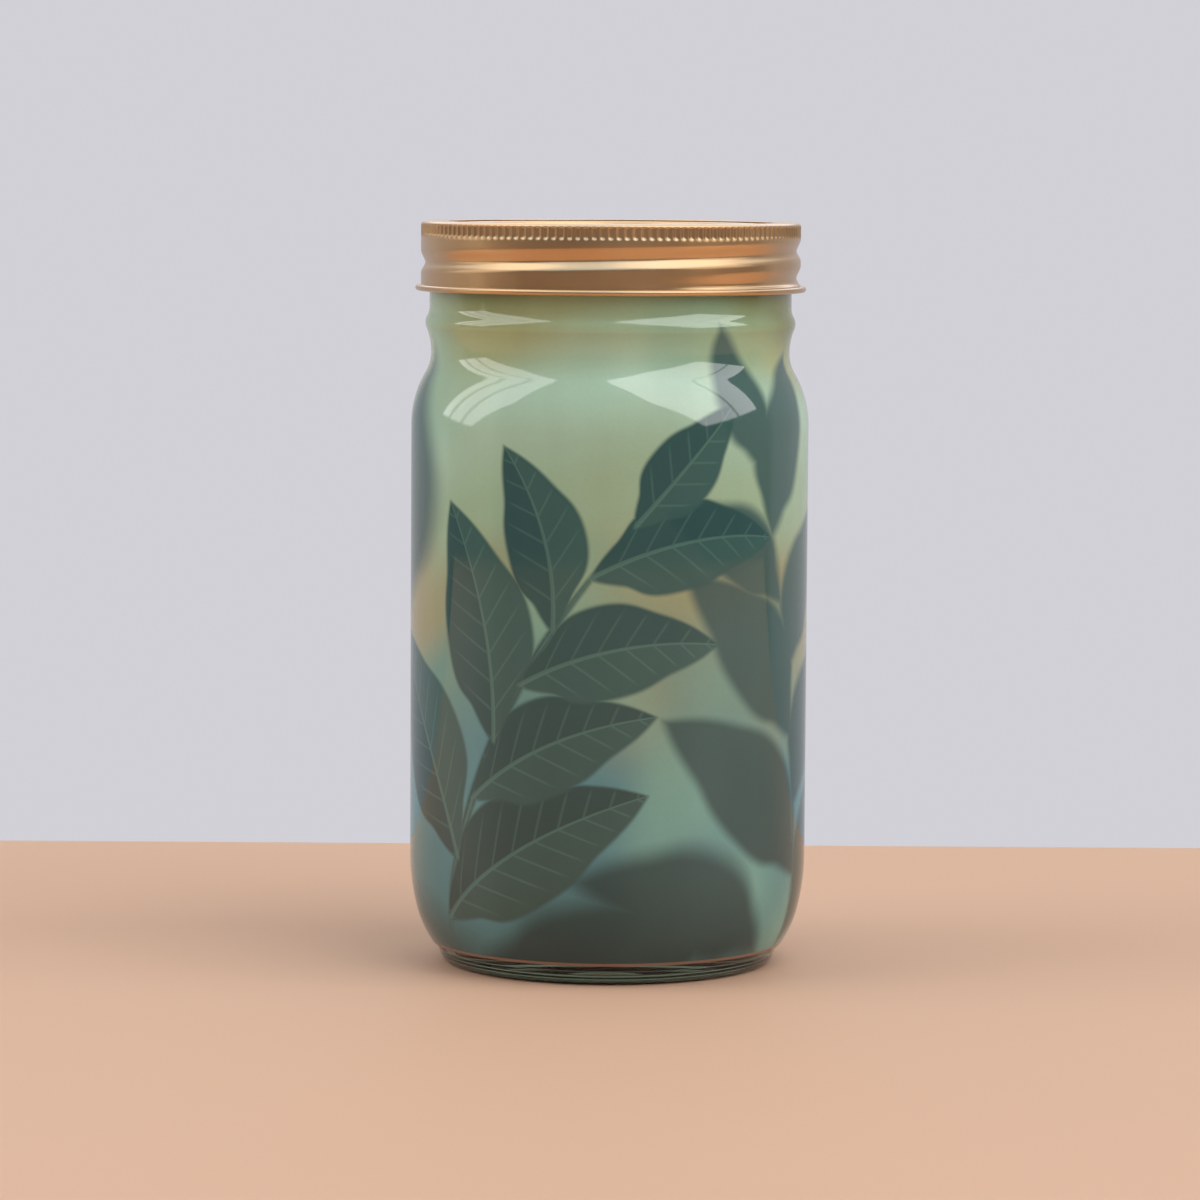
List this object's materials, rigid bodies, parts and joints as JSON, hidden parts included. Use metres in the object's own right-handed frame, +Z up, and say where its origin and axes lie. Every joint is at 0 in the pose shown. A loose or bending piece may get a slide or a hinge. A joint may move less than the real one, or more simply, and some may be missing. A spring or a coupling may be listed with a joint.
{
  "type": "hydroponic jar planter",
  "caption": "Wide-mouth glass jar planter in a printed sleeve, closed by a screw band and loose disc, with a wicked net pot and its growing medium inside.",
  "frame": {"origin": "centre of the jar's base, on the surface that it stands on", "axes": "+Z up along the jar's axis; -Y is the front that the picture shows, +X is to the right in it"},
  "size_m": [0.094, 0.094, 0.1758],
  "materials": {
    "clear_glass": "clear, faintly green",
    "printed_film": "gloss film, soft green and teal print",
    "gold_lacquer": "satin gold lacquer on tinned steel",
    "seal_rubber": "matt",
    "steel_sheet": "brushed",
    "felt": "matt felt",
    "coir": "rough pressed fibre",
    "carbon_paper": "matt",
    "plant_food_paper": "matt kraft",
    "seed_paper": "matt"
  },
  "bodies": {
    "jar": {"glass_jar": "clear_glass", "printed_sleeve": "printed_film", "pot_rim": "steel_sheet", "pot_wall": "steel_sheet", "pot_base": "steel_sheet", "wick": "felt", "coir_disc": "coir", "carbon_sachet": "carbon_paper", "plant_food_sachet": "plant_food_paper", "seed_sachet": "seed_paper"},
    "lid": {"lid_disc": "gold_lacquer", "lid_seal": "seal_rubber"},
    "band": {"screw_band": "gold_lacquer"}
  },
  "joints": [
    {"name": "lid_lift", "type": "slide", "parent": "jar", "child": "lid", "axis": [0, 0, 1], "range_m": [0, 0.0254]},
    {"name": "band_turn", "type": "hinge", "parent": "lid", "child": "band", "pos_m": [0, 0, 0.167], "axis": [0, 0, 1], "range_deg": [0, 1440]}
  ],
  "couplings": [
    {"joint": "lid_lift", "follows": "band_turn", "m_per_rad": 0.0010106}
  ]
}
